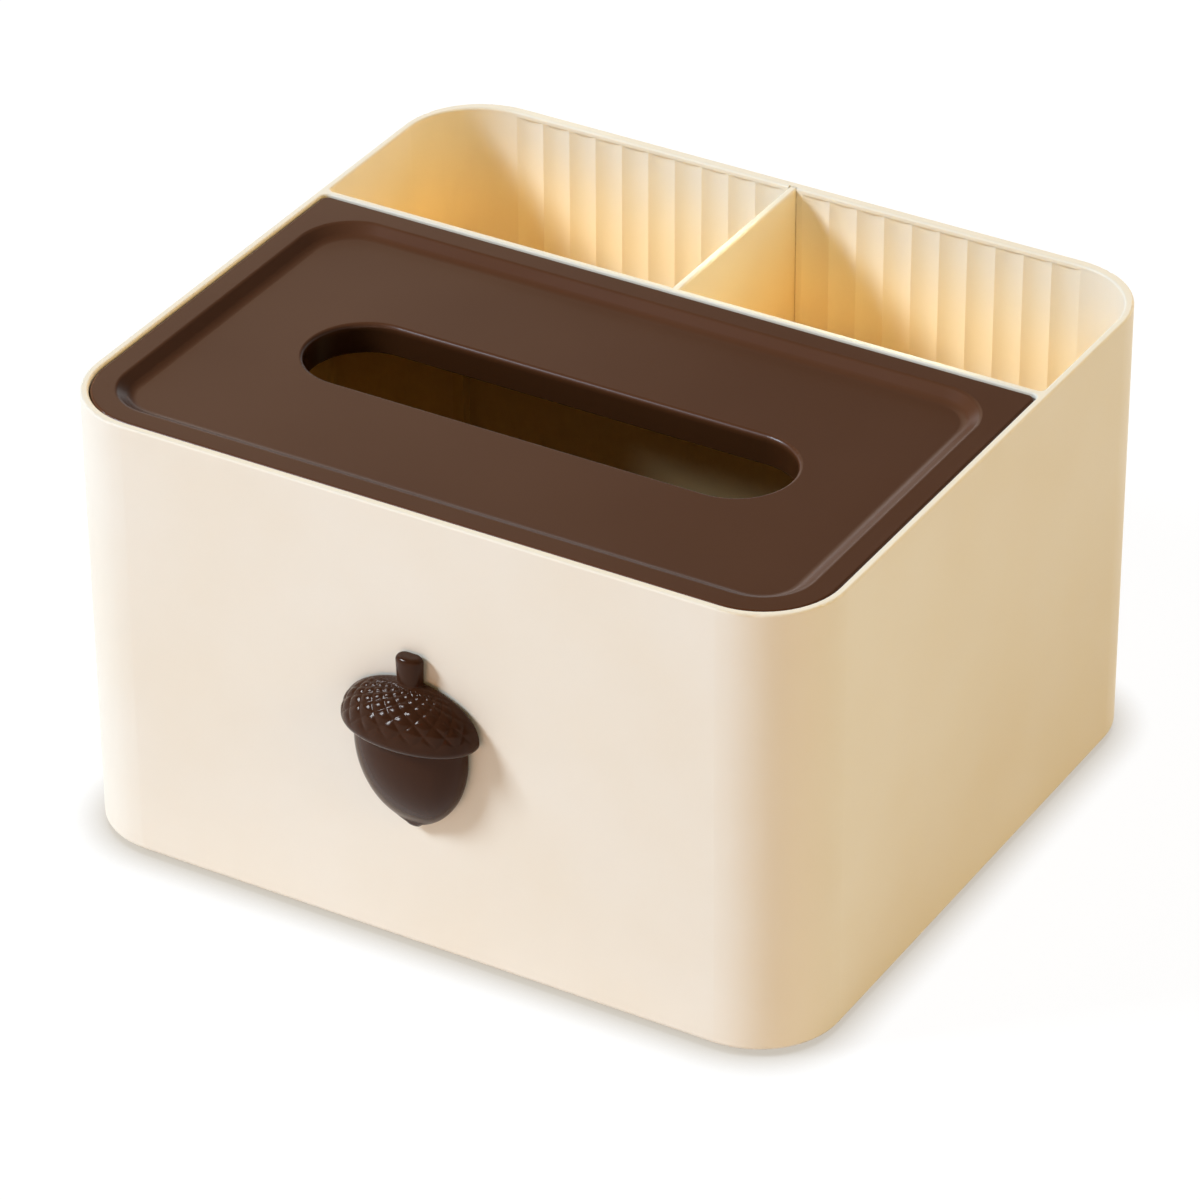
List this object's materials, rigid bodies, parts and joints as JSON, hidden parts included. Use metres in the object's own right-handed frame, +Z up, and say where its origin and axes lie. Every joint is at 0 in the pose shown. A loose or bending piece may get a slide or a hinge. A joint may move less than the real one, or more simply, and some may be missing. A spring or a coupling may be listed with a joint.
{
  "type": "tissue box organizer",
  "caption": "Round-cornered desktop tissue box: a lift-off slotted lid over the tissue bay, fluted rear pockets with a removable divider, a relief ornament in front and rubber feet.",
  "frame": {"origin": "middle of the footprint, ornament included, on the table", "axes": "+X to the right seen from the front, +Y to the back, +Z up; the ornament faces -Y"},
  "size_m": [0.2, 0.1924, 0.12],
  "materials": {
    "cream_plastic": "satin",
    "brown_plastic": "satin",
    "gloss_brown_plastic": "polished",
    "pad_foam": "matte",
    "foot_rubber": "matte"
  },
  "bodies": {
    "shell": {"outer_shell": "cream_plastic", "front_ornament": "gloss_brown_plastic", "ornament_pad": "pad_foam", "foot_front_left": "foot_rubber", "foot_front_right": "foot_rubber", "foot_rear_left": "foot_rubber", "foot_rear_right": "foot_rubber"},
    "lid": {"lid": "brown_plastic"},
    "divider": {"pocket_divider": "cream_plastic"}
  },
  "joints": [
    {"name": "lid_lift", "type": "slide", "parent": "shell", "child": "lid", "axis": [0, 0, 1], "range_m": [0, 0.08]},
    {"name": "divider_lift", "type": "slide", "parent": "shell", "child": "divider", "axis": [0, 0, 1], "range_m": [0, 0.125]}
  ]
}
